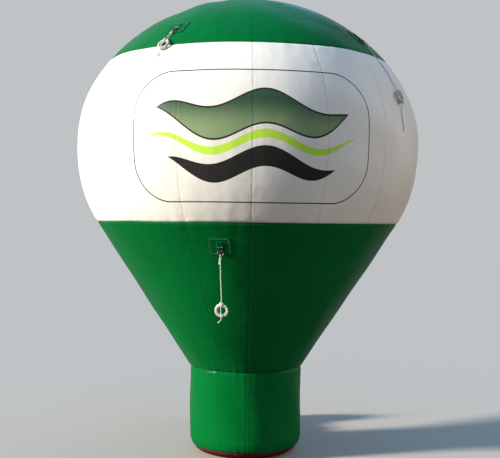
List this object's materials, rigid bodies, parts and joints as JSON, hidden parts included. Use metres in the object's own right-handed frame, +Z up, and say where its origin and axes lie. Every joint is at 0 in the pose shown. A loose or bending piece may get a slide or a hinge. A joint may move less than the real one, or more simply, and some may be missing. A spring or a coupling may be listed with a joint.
{
  "type": "inflatable advertising balloon with blower",
  "caption": "Air-filled advertising balloon of hot-air-balloon shape, standing on its neck, with tie-down ropes and a rear blower.",
  "frame": {"origin": "on the balloon's upright axis, at the floor", "axes": "+Z up along the balloon's axis, -Y towards the front, +X to the right seen from the front; the blower is at +Y"},
  "size_m": [2.2426, 2.2426, 3],
  "materials": {
    "green_fabric": "gloss",
    "white_fabric": "gloss",
    "red_fabric": "satin",
    "black_webbing": "matte",
    "zinc_steel": "satin",
    "rope": "matte",
    "blue_plastic": "satin",
    "black_plastic": "satin",
    "grey_metal": "satin",
    "white_plastic": "satin"
  },
  "bodies": {
    "balloon": {"crown_panel": "green_fabric", "belt_panel": "white_fabric", "cone_panel": "green_fabric", "neck_panel": "green_fabric", "base_pan": "red_fabric", "apex_disc": "green_fabric", "deflation_zip": "black_webbing", "zip_flap": "green_fabric", "inflation_sleeve": "green_fabric", "sleeve_strap": "black_webbing", "blower_housing": "blue_plastic", "outlet_flange": "blue_plastic", "outlet_spigot": "blue_plastic", "inlet_grille": "black_plastic", "blower_motor": "grey_metal", "switch_box": "black_plastic", "power_inlet": "black_plastic", "blower_stand": "zinc_steel", "carry_handle": "black_plastic", "tie_patch_upper_front_left": "green_fabric", "tie_webbing_upper_front_left": "black_webbing", "tie_ring_upper_front_left": "zinc_steel", "tie_rope_upper_front_left": "rope", "rope_coil_upper_front_left": "rope", "rope_tail_upper_front_left": "rope", "tie_patch_upper_front_right": "green_fabric", "tie_webbing_upper_front_right": "black_webbing", "tie_ring_upper_front_right": "zinc_steel", "tie_rope_upper_front_right": "rope", "rope_coil_upper_front_right": "rope", "rope_tail_upper_front_right": "rope", "tie_patch_upper_rear_right": "green_fabric", "tie_webbing_upper_rear_right": "black_webbing", "tie_ring_upper_rear_right": "zinc_steel", "tie_rope_upper_rear_right": "rope", "rope_coil_upper_rear_right": "rope", "rope_tail_upper_rear_right": "rope", "tie_patch_upper_rear_left": "green_fabric", "tie_webbing_upper_rear_left": "black_webbing", "tie_ring_upper_rear_left": "zinc_steel", "tie_rope_upper_rear_left": "rope", "rope_coil_upper_rear_left": "rope", "rope_tail_upper_rear_left": "rope", "tie_patch_lower_front": "green_fabric", "tie_webbing_lower_front": "black_webbing", "tie_ring_lower_front": "zinc_steel", "tie_rope_lower_front": "rope", "rope_coil_lower_front": "rope", "rope_tail_lower_front": "rope", "tie_patch_lower_rear": "green_fabric", "tie_webbing_lower_rear": "black_webbing", "tie_ring_lower_rear": "zinc_steel", "tie_rope_lower_rear": "rope", "rope_coil_lower_rear": "rope", "rope_tail_lower_rear": "rope"},
    "impeller": {"impeller": "white_plastic"}
  },
  "joints": [
    {"name": "impeller_spin", "type": "hinge", "parent": "balloon", "child": "impeller", "pos_m": [0, 0.84, 0.245], "axis": [1, 0, 0], "continuous": true}
  ]
}
